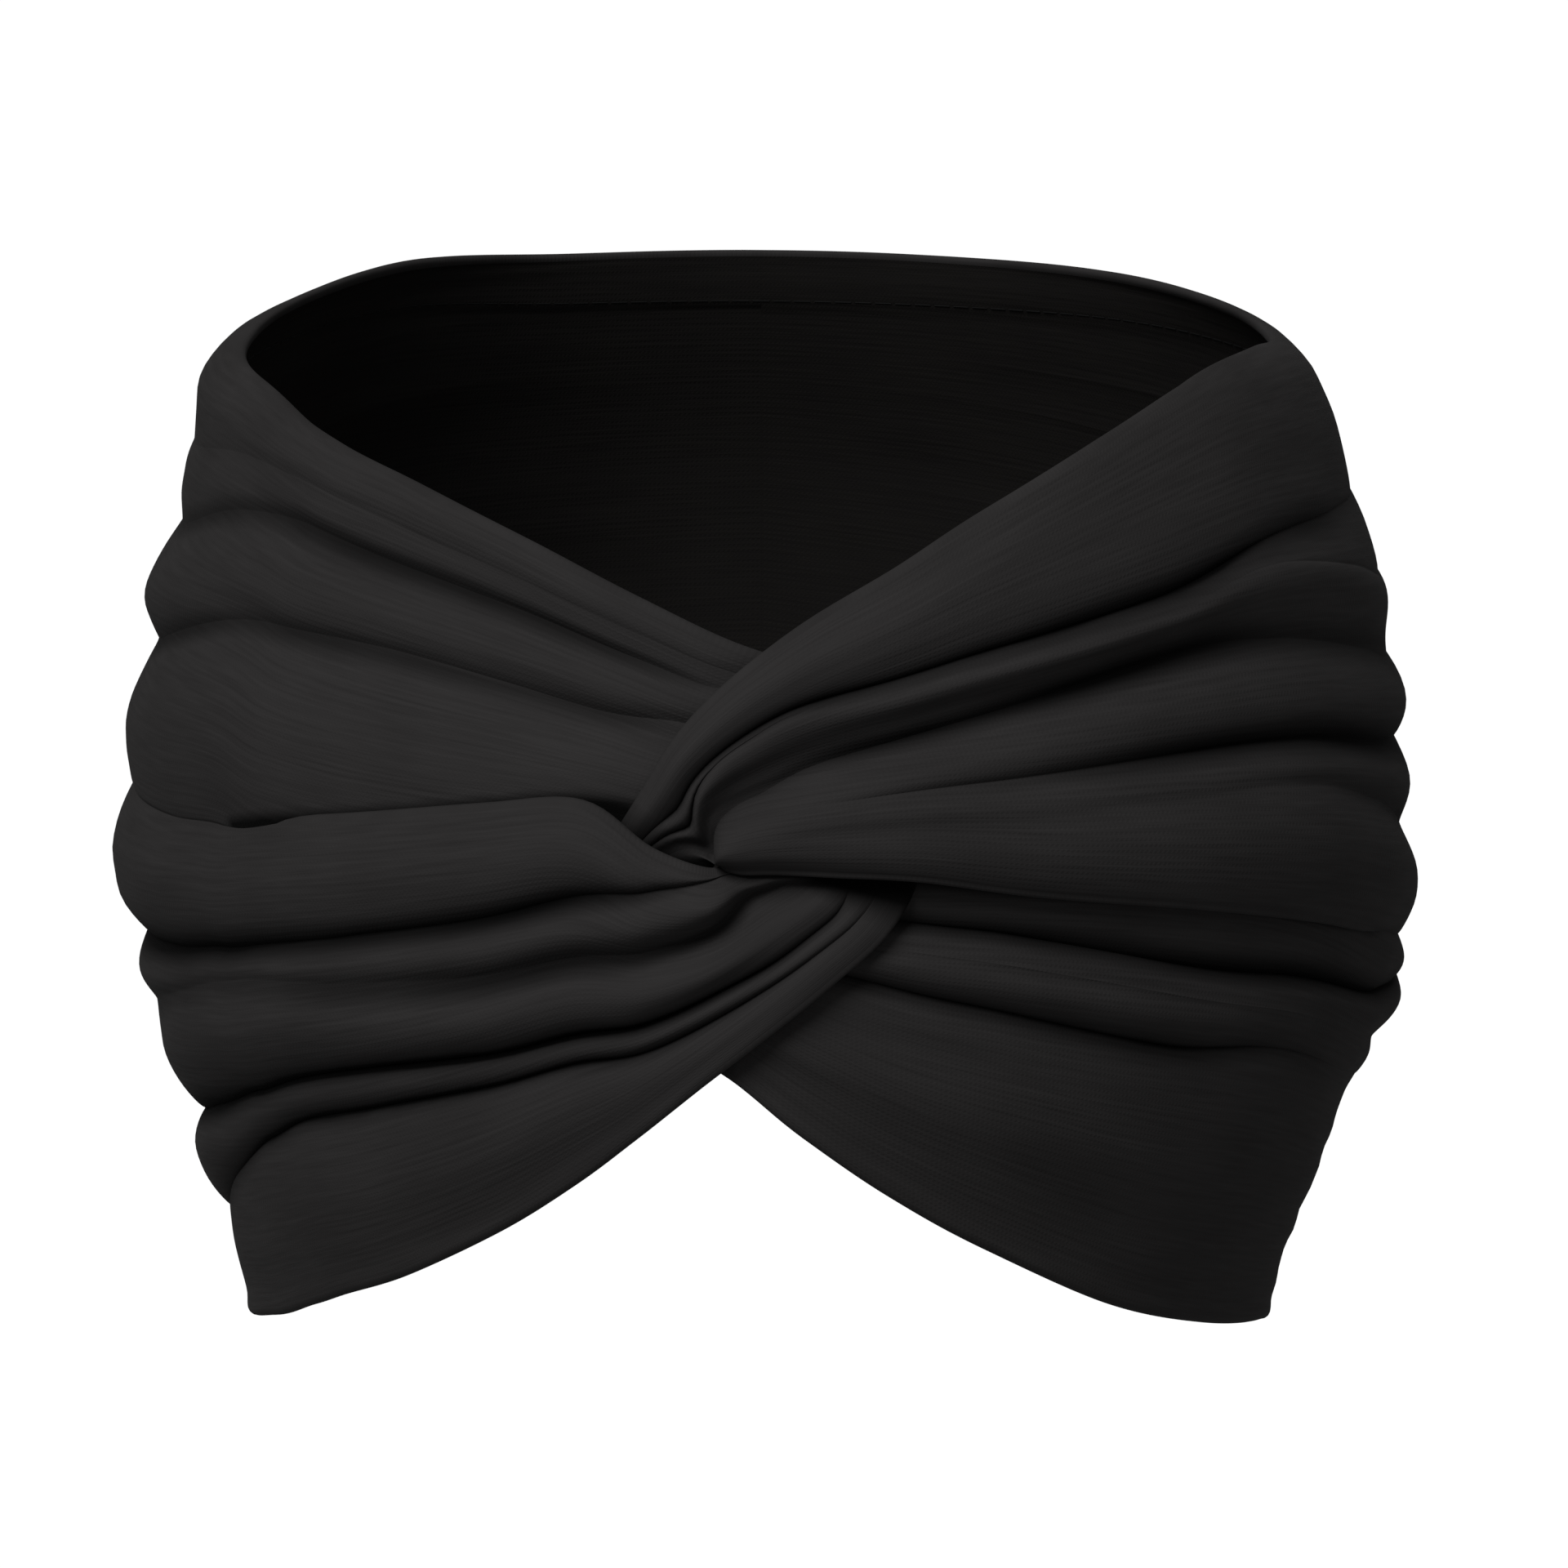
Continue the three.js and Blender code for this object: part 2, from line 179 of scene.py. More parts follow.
RIGHT_SECTIONS = table(
    SECTION,
    # upper leg
    (0.0, 1, BACK, 16, BACK, 72.4, 0, 0, 0),
    (0.1, 1, 157, 11, 157, 72.3, 0.1, 0, 0),
    (0.4, 1, 134, 2, 134, 72.4, 0.5, 0, 0),
    (0.7, 1, 112, -7, 112, 71.4, 1.2, 0, 0),
    (1.0, 1, 90, -12, 90, 70.2, 1.8, 0, 0),
    (1.5, 1, 74, -7.3, 71, 71.8, 1.2, 0, 0),
    (2.0, 0, 55, 0.6, 54, 70.8, 2.4, 0, 0),
    (3.0, 0, 39, 6.2, 38, 65.4, 2.6, 0, 0),
    (3.6, 0, 23, 10.6, 22, 57.2, 3, 0.4, 0),
    (4.0, 0, 13, 13.8, 12, 50.3, 4.8, 1.2, 0),
    (4.5, 0, 6, 14.8, 5, 45.2, 5, 2, 0),
    (5.0, 0, 1.4, 15.2, 0, 40.3, 4.7, 2.8, 0),
    (5.1, 0, -1.2, 15.1, -3.8, 35.4, 4.3, 3.2, 0),
    (5.4, 0, -2.7, 15.3, -6.7, 30.2, 3.4, 3.2, 0),
    (6.2, 0, -3.5, 15.5, -8.9, 24.4, 1.9, 2.8, 0),
    (6.7, 0, -4, 15.2, -11, 19.2, 1.2, 2.3, 0),
    # loop behind the left band's lower leg
    (7.0, 0, -4.4, 13.8, -14, 12.5, 0.7, 0.7, 0),
    (7.0, 0, -3.6, 12.6, -14.5, 3, 0, 0, 0),
    (7.0, 0, -2.2, 11.6, -10.5, -6, 0, 0, 0),
    (6.6, 0, 0.6, 11.2, -3, -11.4, 0, 0, 0),
    # lower leg
    (5.0, 0, 6, 13.5, 4, -20.2, 0, 0, 1),
    (4.0, 0, 13, 13.5, 12, -29, 0, 0, 0.8),
    (3.6, 0, 23, 13.2, 22, -37.7, 0, 0, 2.6),
    (3.0, 0, 39, 10.5, 38, -48.7, -0.3, 0, 3.8),
    (2.0, 0, 55, 4.5, 55, -56, -0.3, 0, 3.4),
    (1.5, 1, 74, -7.3, 74, -61.8, 1.2, 0, 0),
    (1.0, 1, 90, -12, 90, -65.4, 1.8, 0, 0),
    (0.7, 1, 112, -7, 112, -61.5, 1.2, 0, 0),
    (0.4, 1, 134, 2, 134, -53.5, 0.5, 0, 0),
    (0.1, 1, 157, 11, 157, -45.2, 0.1, 0, 0),
    (0.0, 1, BACK, 16, BACK, -42, 0, 0, 0),
)

# Folds across each leg, from the slit to the rim or hem. columns sets how fine a fold's mesh is,
# peak is where across the fold its ridge lies, and pinch is how soft the crease on its outer side
# is, small for a sharp one. Then come three rows of values at stages 0 to 6: share, the part of the
# leg's width that the fold takes; puff, how far it stands out; and level, how high its crease lies.
FOLD = ("name", "columns", "peak", "pinch", "share", "puff", "level")

LEFT_UPPER = table(
    FOLD,
    ("middle", 6, 0.5, 1.2,
        (0.4, 0.33, 0.52, 0.59, 0.6, 0.665, 0.64),
        (0, 1.8, 3, 3, 2.6, 1.4, 0.6),
        (0, -2.4, -1.4, -1.4, -1, -0.4, 0)),
    ("second", 5, 0.45, 1.3,
        (0.3, 0.27, 0.26, 0.205, 0.212, 0.161, 0.174),
        (0, 2.5, 2.4, 2.2, 1.8, 1, 0.4),
        (0, -3.4, -2.2, -2.2, -1.8, -0.8, 0)),
    ("third", 5, 0.5, 1.0,
        (0.15, 0.19, 0.11, 0.1, 0.094, 0.087, 0.093),
        (0, 0.6, 0.6, 0.6, 0.5, 0.3, 0.2),
        (0, -2, -0.3, 0, 0.2, 0.2, 0)),
    ("rim", 4, 0.5, 0.8,
        (0.15, 0.21, 0.11, 0.105, 0.094, 0.087, 0.093),
        (0, 0.8, 0.7, 0.7, 0.6, 0.4, 0.2),
        (0, -0.2, -0.4, -0.2, 0, 0, 0)),
)

LEFT_LOWER = table(
    FOLD,
    ("flap", 4, 0.55, 0.8,
        (0.25, 0.27, 0.25, 0.245, 0.23, 0.03, 0.03),
        (0, 3.4, 3.2, 3, 2.6, 0.6, 0.3),
        (0, -1.8, -1.6, -1.4, -0.8, 0, 0)),
    ("second", 4, 0.55, 1.2,
        (0.15, 0.14, 0.07, 0.1, 0.16, 0.26, 0.18),
        (0, 2, 1.2, 1.4, 2.6, 3.4, 2.2),
        (0, -1.4, 0.4, 0.2, -0.6, -1.2, -1)),
    ("middle", 4, 0.6, 0.6,
        (0.2, 0.21, 0.23, 0.19, 0.21, 0.33, 0.47),
        (0, 2.4, 3, 3.2, 3.4, 3.4, 2.4),
        (0, -2.4, -3, -3.4, -3.2, -2.2, -0.6)),
    ("roll", 4, 0.5, 0.7,
        (0.2, 0.2, 0.1, 0.09, 0.08, 0.13, 0.12),
        (0, 2.6, 1.8, 1.8, 1.7, 1.8, 1.2),
        (0, -1.4, -2.8, -3, -2.6, -1.4, 0)),
    ("hem", 4, 0.4, 1.0,
        (0.2, 0.18, 0.35, 0.37, 0.32, 0.25, 0.2),
        (0, 0.6, 2, 2.4, 2.2, 1.4, 0.8),
        (0, 0, 0, 0, 0, 0, 0)),
)

RIGHT_UPPER = table(
    FOLD,
    ("lobe", 4, 0.5, 1.2,
        (0.25, 0.19, 0.25, 0.235, 0.185, 0.15, 0.02),
        (0, 2, 2.4, 1.8, 0.5, 0, 0),
        (0, -0.4, 0.8, 0.2, -1.2, -1, -0.6)),
    ("lobe_top", 3, 0.5, 1.0,
        (0.15, 0.15, 0.085, 0.09, 0.11, 0.105, 0.015),
        (0, 1.9, 1.4, 1, 0.2, 0, 0),
        (0, -0.6, -1.6, -2.8, -2.8, -1.7, -1.1)),
    ("second", 3, 0.45, 1.2,
        (0.1, 0.13, 0.185, 0.203, 0.16, 0.115, 0.015),
        (0, 2.2, 2.4, 2.4, 1.2, 0, 0),
        (0, -0.3, -1.4, -2.2, -3, -3.2, -2.6)),
    ("third", 4, 0.78, 0.6,
        (0.15, 0.14, 0.14, 0.1, 0.177, 0.31, 0.39),
        (0, 0.8, 1, 1.2, 1.2, 1.2, 1.8),
        (0, 0.3, 0.8, 0.8, 0.6, 0.2, -1.8)),
    ("fourth", 2, 0.5, 0.5,
        (0.1, 0.14, 0.04, 0.025, 0.037, 0.03, 0.205),
        (0, 0.6, 0.2, 0.2, 0.2, 0.4, 1.8),
        (0, 0, -1, -1.8, -1.2, -0.8, -1.4)),
    ("rim", 4, 0.5, 1.0,
        (0.25, 0.25, 0.3, 0.347, 0.331, 0.29, 0.355),
        (0, 1, 2, 2.4, 2.4, 2.4, 2),
        (0, -0.4, -0.6, -0.4, 0, 0, 0)),
)

RIGHT_LOWER = table(
    FOLD,
    ("tuck", 4, 0.6, 0.6,
        (0.15, 0.115, 0.203, 0.215, 0.156, 0.148, 0.1),
        (0, 1.6, 1.6, 1.4, 1, 0.5, 0.2),
        (0, 0.2, -2.2, -2.4, -2, -0.8, 0)),
    ("second", 4, 0.4, 1.3,
        (0.15, 0.15, 0.081, 0.067, 0.079, 0.083, 0.1),
        (0, 2.6, 1.2, 1, 0.8, 0.4, 0.2),
        (0, 0.2, 0.9, 0.6, 0.2, 0, 0)),
    ("third", 5, 0.55, 0.7,
        (0.1, 0.1, 0.085, 0.118, 0.13, 0.13, 0.14),
        (0, 0.6, 0.5, 1.6, 1.8, 0.8, 0.3),
        (0, 0.2, -0.6, -2.6, -2.6, -1.2, 0)),
    ("hem", 7, 0.35, 1.0,
        (0.6, 0.635, 0.631, 0.6, 0.635, 0.64, 0.66),
        (0, -0.4, 1, 2, 1.8, 1.2, 0.4),
        (0, 0, 0, 0, 0, 0, 0)),
)

# A broad roll that lies over the first folds of a leg, with how far it stands out at stages 0 to 6.
RIGHT_LOBE = {"folds": 3, "puff": (0, 0, 0.6, 1.8, 3.4, 4.6, 2.2)}

# Each band's tables. rim_turn is how far its rim turns inwards at the side of the head, in degrees.
BANDS = table(
    ("name", "sections", "upper", "lower", "roll", "rim_turn", "mirrored"),
    ("left_band", LEFT_SECTIONS, LEFT_UPPER, LEFT_LOWER, None, 88, False),
    ("right_band", RIGHT_SECTIONS, RIGHT_UPPER, RIGHT_LOWER, RIGHT_LOBE, 72, True),
)


class HeadbandSizes(bpy.types.PropertyGroup):
    """Sizes of the cloth and its sewing."""

    wall: FloatProperty(
        name="Wall", description="Thickness of the doubled jersey", default=1.8 * MM, **LENGTH
    )
    edge_round: FloatProperty(
        name="Edge round", description="How far the folded edge stands out", default=0.9 * MM, **LENGTH
    )
    edge_bead: FloatProperty(
        name="Edge bead",
        description="Height of the soft roll along rim and hem",
        default=0.5 * MM,
        **LENGTH,
    )
    rim_round: FloatProperty(
        name="Rim round", description="Radius of the rim's turn inwards", default=5.5 * MM, **LENGTH
    )
    seam_dip: FloatProperty(
        name="Seam dip",
        description="Depth of the hollow along the back seam",
        default=0.8 * MM,
        **LENGTH,
    )
    wrinkle: FloatProperty(
        name="Wrinkle",
        description="Height of the small wrinkles that run with the folds",
        default=0.45 * MM,
        **LENGTH,
    )
    facet: FloatProperty(
        name="Facet", description="Length of a mesh face along the band", default=1.7 * MM, **LENGTH
    )
    fineness: IntProperty(
        name="Fineness", description="Mesh columns for each column of a fold", default=5, min=1
    )
    stitch_length: FloatProperty(
        name="Stitch", description="Length of one stitch of the rim's hem", default=2.4 * MM, **LENGTH
    )
    stitch_pitch: FloatProperty(
        name="Stitch pitch",
        description="Distance from one stitch to the next",
        default=3.0 * MM,
        **LENGTH,
    )
    thread: FloatProperty(
        name="Thread", description="Thickness of the sewing thread", default=0.25 * MM, **LENGTH
    )
    hem_depth: FloatProperty(
        name="Hem depth",
        description="How far the rim's hem reaches down inside",
        default=8.0 * MM,
        **LENGTH,
    )
    hem_step: FloatProperty(
        name="Hem step",
        description="How far the hem stands in from the lining",
        default=0.5 * MM,
        **LENGTH,
    )
    stitch_margin: FloatProperty(
        name="Stitch margin",
        description="Distance from the stitches to the hem's edge",
        default=1.2 * MM,
        **LENGTH,
    )
    seed: IntProperty(name="Seed", description="Fixes the small wrinkles", default=11)


class HeadbandColours(bpy.types.PropertyGroup):
    """Colours of the cloth, its painted shade, the thread and the floor."""

    jersey: FloatVectorProperty(
        name="Jersey",
        description="The cloth where its knit is packed",
        **COLOUR,
        default=linear("#201f1f"),
    )
    jersey_stretched: FloatVectorProperty(
        name="Stretched jersey",
        description="The cloth where it is stretched",
        **COLOUR,
        default=linear("#282727"),
    )
    # painted shade: the colour that the jersey is darkened towards in creases, under the other leg and in
    # the twist
    painted_crease_shade: FloatVectorProperty(
        name="Creased jersey",
        description="The cloth deep in a fold",
        **COLOUR,
        default=linear("#030303"),
    )
    # the back of the knit, darker than the outside as painted shade for the inside of the band
    lining: FloatVectorProperty(
        name="Lining",
        description="The back of the knit where it is packed",
        **COLOUR,
        default=linear("#121111"),
    )
    lining_stretched: FloatVectorProperty(
        name="Stretched lining",
        description="The back of the knit where it is stretched",
        **COLOUR,
        default=linear("#161514"),
    )
    thread: FloatVectorProperty(
        name="Thread", description="The sewing thread", **COLOUR, default=linear("#080808")
    )
    floor: FloatVectorProperty(
        name="Floor", description="The pale floor", **COLOUR, default=linear("#f4f4f4")
    )


class HeadbandStage(bpy.types.PropertyGroup):
    """The camera's place, the floor's height and the light."""

    elevation: FloatProperty(
        name="Elevation", description="Camera height above level", default=radians(10), subtype="ANGLE"
    )
    distance: FloatProperty(name="Distance", description="Camera to aim", default=1.1, unit="LENGTH")
    lens: FloatProperty(name="Lens", description="Focal length on a 36 mm sensor", default=182.7)
    aim: FloatVectorProperty(
        name="Aim",
        description="What the camera looks at",
        subtype="TRANSLATION",
        default=(3.39 * MM, 0, 8.02 * MM),
    )
    floor_drop: FloatProperty(
        name="Floor drop",
        description="Floor below the middle of the headband",
        default=0.3,
        unit="LENGTH",
    )
    key_strength: FloatProperty(name="Key", description="Strength of the key light", default=3.7)
    key_spread: FloatProperty(
        name="Key spread", description="How broad the key looks", default=radians(30), subtype="ANGLE"
    )
    key_direction: FloatVectorProperty(
        name="Key direction",
        description="Where the key shines to",
        subtype="DIRECTION",
        default=(0.33, 0.66, -0.68),
    )
    fill_strength: FloatProperty(
        name="Fill", description="Strength of the soft light from all round", default=0.36
    )


def catmull_rom(values, at):
    """Values at places between those given, on a Catmull-Rom line."""
    last = len(values) - 1
    i = np.minimum(at.astype(int), last - 1)
    a, b, c, d = (values[np.clip(i + step, 0, last)] for step in (-1, 0, 1, 2))
    t = at - i
    return b + 0.5 * ((c - a) * t + (2 * a - 5 * b + 4 * c - d) * t**2 + (3 * b - a - 3 * c + d) * t**3)


def along(rows, column, at):
    """A table's column at places between its rows."""
    return catmull_rom(np.array([row[column] for row in rows], float), at)


def half_width(z):
    """Half the head form's width at heights z."""
    heights = np.array([row["z"] for row in HEAD_FORM], float)
    i = np.clip(np.searchsorted(heights, z, side="right") - 1, 0, len(heights) - 2)
    return along(HEAD_FORM, "half_width", i + (z - heights[i]) / (heights[i + 1] - heights[i]))


def on_head(angle, z, lift):
    """Points that stand off the head form, level and square to its oval."""
    turn = np.radians(angle)
    wide = half_width(z)
    deep = wide * DEPTH_RATIO
    out = np.stack((np.sin(turn) / wide, -np.cos(turn) / deep), -1)
    out /= np.linalg.norm(out, axis=-1, keepdims=True)
    x = wide * np.sin(turn) + out[..., 0] * lift
    y = -deep * np.cos(turn) + out[..., 1] * lift
    return np.stack((x, y, z), -1)


def at_stage(values, hidden, stage):
    """A fold's value at each row's stage. Hidden cloth has its own value."""
    return catmull_rom(np.array((*values, hidden), float), stage)


def fold_columns(folds, roll, stage, fineness):
    """Where each mesh column lies across a leg, from 0 at the slit to 1 at the edge, and its height."""
    total = sum(fold["columns"] for fold in folds)
    shares = np.stack([at_stage(f["share"], f["columns"] / total, stage) for f in folds], 1)
    shares /= shares.sum(1, keepdims=True)
    nothing = np.zeros((len(stage), 1))
    across, height = [nothing], [nothing]
    start, start_level, start_pinch = nothing, nothing, SLIT_PINCH
    for f, fold in enumerate(folds):
        count = fold["columns"] * fineness
        part = (1 - np.cos(pi * np.arange(1, count + 1) / count)) / 2
        width = shares[:, f : f + 1]
        level = at_stage(fold["level"], 0, stage)[:, None]
        puff = at_stage(fold["puff"], 0, stage)[:, None]
        ridge = np.clip(np.sin(pi * part ** (log(0.5) / log(fold["peak"]))), 0, 1)
        arch = ridge ** (start_pinch + (fold["pinch"] - start_pinch) * part)
        across.append(start + width * part)
        height.append(start_level + (level - start_level) * part + puff * arch)
        start, start_level, start_pinch = start + width, level, fold["pinch"]
    across, height = np.hstack(across), np.hstack(height)
    if roll:
        end = shares[:, : roll["folds"]].sum(1, keepdims=True)
        arch = np.sin(pi * np.clip(across / end, 0, 1)) ** LOBE_ROUND
        height += at_stage(roll["puff"], 0, stage)[:, None] * arch
    return across, height


def fade(amount, width):
    """0 up to nothing and 1 from the width on, with a straight rise between."""
    return np.clip(amount / width, 0, 1)


def windows(rows, before, after):
    """For each place along the rows, the values from some places before it to some after it."""
    padded = np.pad(rows, ((0, 0), (before, after)), "edge")
    return np.lib.stride_tricks.sliding_window_view(padded, before + after + 1, axis=1)


def painted_crease_depth(across, height, kind):
    """How deep the creases of one kind lie, scaled for their painted shade, 1 or more where it is full."""
    even = np.linspace(0, 1, CREASE_PLACES)
    level = np.stack([np.interp(even, a, h) for a, h in zip(across, height)])
    # a crease is as deep as the lower of the folds on its two sides
    before = windows(level, kind["reach"], 0).max(-1)
    after = windows(level, 0, kind["reach"]).max(-1)
    deep = np.clip(np.minimum(before, after) - level, 0, None)
    deep = windows(deep, CREASE_SPREAD, CREASE_SPREAD).max(-1)
    deep = windows(deep, kind["blur"], kind["blur"]).mean(-1)
    deep = np.stack([np.interp(a, even, d) for a, d in zip(across, deep)])
    return (deep - kind["start"]) / (kind["full"] - kind["start"])


def painted_shade_mask(across, height, width, stage, tucked):
    """How much painted shade each point gets, from 0 to 1: in the creases, on cloth tucked under the other
    leg and where it dives into the twist.
    """
    painted_crease_shade = np.maximum(painted_crease_depth(across, height, VALLEY), painted_crease_depth(across, height, CRACK))
    painted_shade = windows(np.clip(painted_crease_shade, 0, 1).T, ROW_BLUR, ROW_BLUR).mean(-1).T
    painted_shade *= fade((1 - across) * width, FREE_EDGE)
    slit = np.clip(stage - 1, 0, 1)
    painted_shade *= 1 - slit * (1 - fade(across * width, FREE_EDGE))
    under = fade(tucked + TUCK_PAINTED_SHADE - across * width, TUCK_PAINTED_SHADE) * np.clip(tucked, 0, 1)
    diving = fade(stage - DIVE_START, DIVE_FULL - DIVE_START)
    return np.maximum(np.maximum(painted_shade, under), diving)


def ripples(u, v, seed):
    """Smooth seeded noise between -1 and 1 over a plane."""
    grid = np.random.default_rng(seed).uniform(-1, 1, (NOISE_CELLS, NOISE_CELLS))
    i, j = np.floor(u).astype(int), np.floor(v).astype(int)
    s, t = u - i, v - j
    s, t = s * s * (3 - 2 * s), t * t * (3 - 2 * t)
    i, next_i, j, next_j = (cell % NOISE_CELLS for cell in (i, i + 1, j, j + 1))
    near = grid[i, j] * (1 - s) + grid[next_i, j] * s
    far = grid[i, next_j] * (1 - s) + grid[next_i, next_j] * s
    return near * (1 - t) + far * t


def wrinkles(u, v, start, seed):
    """Small wrinkles over the cloth, at places u along and v across it in millimetres."""
    small, broad = (
        ripples(u / length + start, v / breadth, seed + step)
        for step, (length, breadth) in enumerate((SMALL_WRINKLE, BROAD_WRINKLE))
    )
    return SMALL_SHARE * small + broad


def section_rows(sections, facet):
    """Places of the mesh rows between the sections, finer where a section is long."""
    columns = ("in_angle", "out_angle", "out_z")
    in_turn, out_turn, out_rise = (np.diff([row[name] for row in sections]) for name in columns)
    inner = np.abs(in_turn) * ARC
    outer = np.hypot(out_turn * ARC, out_rise)
    free = [not (a["joined"] and b["joined"]) for a, b in zip(sections, sections[1:])]
    reach = np.where(free, np.maximum(inner, outer), inner)
    steps = np.maximum(np.ceil(reach / facet).astype(int), LEAST_ROWS)
    last = len(sections) - 1.0
    places = np.concatenate([i + np.arange(count) / count for i, count in enumerate(steps)])
    # a row close to each sewn end keeps the end's face out of the smooth shading
    return np.sort(np.append(places, (END_ROW, last - END_ROW, last)))


def band_rows(sections, facet):
    """Each mesh row's stage and section, whether its legs are one cloth, and if it is on the upper leg."""
    at = section_rows(sections, facet)
    i = np.minimum(at.astype(int), len(sections) - 2)
    stages = np.array([row["stage"] for row in sections])
    stage = np.clip(along(sections, "stage", at), 0, HIDDEN)
    flags = np.array([row["joined"] for row in sections], bool)
    joined = np.where(at == i, flags[i], flags[i] & flags[i + 1])
    joined[-1] = True
    section = {column: along(sections, column, at) for column in SECTION[2:]}
    # where the legs are one cloth, the lower one takes its inner edge from the upper one
    second_half = joined & (np.arange(len(at)) > len(at) / 2)
    for column in ("in_angle", "in_z", "in_lift"):
        section[column][second_half] = section[column][::-1][second_half]
    upper = at < np.argmax(stages == HIDDEN) + 1
    return stage, section, joined, upper


def cloth_places(middle, upper, across):
    """Places on the cloth: along the leg from the back seam, and across the band from the slit."""
    run = np.append(0, np.cumsum(np.linalg.norm(np.diff(middle, axis=0), axis=1)))
    run = np.where(upper, run, run[-1] - run)[:, None]
    return np.broadcast_to(run, across.shape), np.where(upper[:, None], UPPER_WIDTH, -LOWER_WIDTH) * across


def band_points(band, sizes):
    """The band's rows of points in millimetres, with their places on the cloth, painted shade and hem."""
    stage, section, joined, upper = band_rows(band["sections"], sizes.facet / MM)
    legs = ((band["upper"], band["roll"]), (band["lower"], None))
    halves = [fold_columns(folds, roll, stage, sizes.fineness) for folds, roll in legs]
    across, height = (np.where(upper[:, None], a, b) for a, b in zip(*halves))
    stage = stage[:, None]

    def spread(inner, outer, share):
        return section[inner][:, None] + (section[outer] - section[inner])[:, None] * share

    def points(share, stand):
        return on_head(
            spread("in_angle", "out_angle", share),
            spread("in_z", "out_z", share),
            spread("in_lift", "out_lift", share) + stand,
        )

    turn = (section["out_angle"] - section["in_angle"]) * ARC
    width = np.hypot(section["out_z"] - section["in_z"], turn)[:, None]
    from_slit = across * width
    below = (1 - across) * width
    shown = np.clip(OUT_OF_SIGHT - stage, 0, 1)
    middle = points(np.full((1, 1), 0.5), 0)[:, 0]
    cloth_u, cloth_v = cloth_places(middle, upper, across)

    # small wrinkles, the soft roll along the edge and the hollow of the back seam
    from_seam = fade(BACK - np.abs(section["in_angle"]), SEAM_CALM)[:, None]
    risen = np.clip(stage, BACK_SHARE, 1) * shown * from_seam
    risen = risen * (fade(from_slit, EDGE_CALM) * fade(below, EDGE_CALM))
    start = RIGHT_START if band["mirrored"] else 0
    height = height + sizes.wrinkle / MM * risen * wrinkles(cloth_u, cloth_v, start, sizes.seed)
    height += sizes.edge_bead / MM * shown * np.exp(-((below / BEAD_REACH) ** 2))
    from_back = (BACK - np.abs(spread("in_angle", "out_angle", across))) * ARC
    sewn = sizes.seam_dip / MM * np.exp(-((from_back / SEAM_REACH) ** 2))
    # painted shade: darker colour in creases, on tucked cloth and in the twist
    painted_shade = painted_shade_mask(across, height, width, stage, section["tucked"][:, None])

    # the rim turns inwards at the sides of the head, by the angle whose sine is rise
    turned = np.radians(band["rim_turn"]) * np.sin(np.radians(section["out_angle"])) ** 2
    turned = np.where(upper, turned, 0)[:, None]
    radius = sizes.rim_round / MM
    rise = np.clip(np.sin(turned) - below / radius, 0, 1)
    level = np.sqrt(1 - rise**2)
    height = height - radius * (1 - level)

    # the rim's hem makes the lining thicker, down to its sewn edge
    hem = fade(sizes.hem_depth / MM - below, HEM_SLOPE) * fade(below, HEM_FULL)
    hem *= sizes.hem_step / MM * (upper & (section["out_z"] > HEM_LOWEST))[:, None]

    wall = sizes.wall / MM
    half = wall / 2
    nose = np.radians(EDGE_NOSE)
    past = sizes.edge_round / MM * np.cos(nose)
    deep = half * np.sin(nose) - half
    tip, flat = rise[:, -1:], level[:, -1:]
    edge_share = 1 + (past * flat + deep * tip) / width
    edge_stand = height[:, -1:] + half + deep * flat - past * tip
    return {
        "joined": joined,
        "face": points(across, height + half - sewn),
        "lining": points(across - wall * rise / width, height + half - wall * level - hem),
        "edge": points(edge_share, edge_stand),
        "slit": points(-past / width, height[:, :1] + half + deep),
        "cloth": np.stack((cloth_u, cloth_v), -1),
        "painted_shade": painted_shade,
        "below_rim": below,
        "has_hem": hem.any(1),
    }


def slit_ends(joined):
    """The last joined row before the slit and the first one after it."""
    opens = np.flatnonzero(~joined)
    return opens[0] - 1, opens[-1] + 1


def strip(lanes):
    """Quads between lanes of point numbers that lie side by side."""
    lanes = np.stack(lanes, 1)
    corners = (lanes[:-1, :-1], lanes[1:, :-1], lanes[1:, 1:], lanes[:-1, 1:])
    return np.stack(corners, -1).reshape(-1, 4)


def band_polygons(numbers, joined, mirrored):
    """The band's polygons, the material of each, and how many at the end of the list are sewn ends."""
    faces, linings, edges, slits = numbers
    rows = len(faces)
    first, final = slit_ends(joined)
    for row in np.flatnonzero(joined):
        if row > rows / 2:
            for grid in (faces, linings):
                grid[row, 0] = grid[rows - 1 - row, 0]
    slits[final] = slits[first]
    slit = [linings[:, 0], *slits.T[::-1], faces[:, 0]]
    quads = [
        strip(faces.T),
        strip(linings.T[::-1]),
        strip([faces[:, -1], *edges.T, linings[:, -1]]),
        strip([lane[first : final + 1] for lane in slit]),
    ]
    sewn_ends = ((0, 1), (-1, -1))
    for row, step in sewn_ends:
        cap = np.stack((faces[row], linings[row]), 1)[::step]
        quads.append(np.stack((cap[:-1, 0], cap[1:, 0], cap[1:, 1], cap[:-1, 1]), -1))
    polygons = np.concatenate(quads).tolist()
    for row, step in sewn_ends:
        polygons.append([faces[row, -1], *edges[row], linings[row, -1]][::step])
    inside = np.zeros(len(polygons), int)
    inside[len(quads[0]) : len(quads[0]) + len(quads[1])] = 1
    if mirrored:
        polygons = [polygon[::-1] for polygon in polygons]
    return polygons, inside, (len(quads[-1]) + 1) * len(sewn_ends)


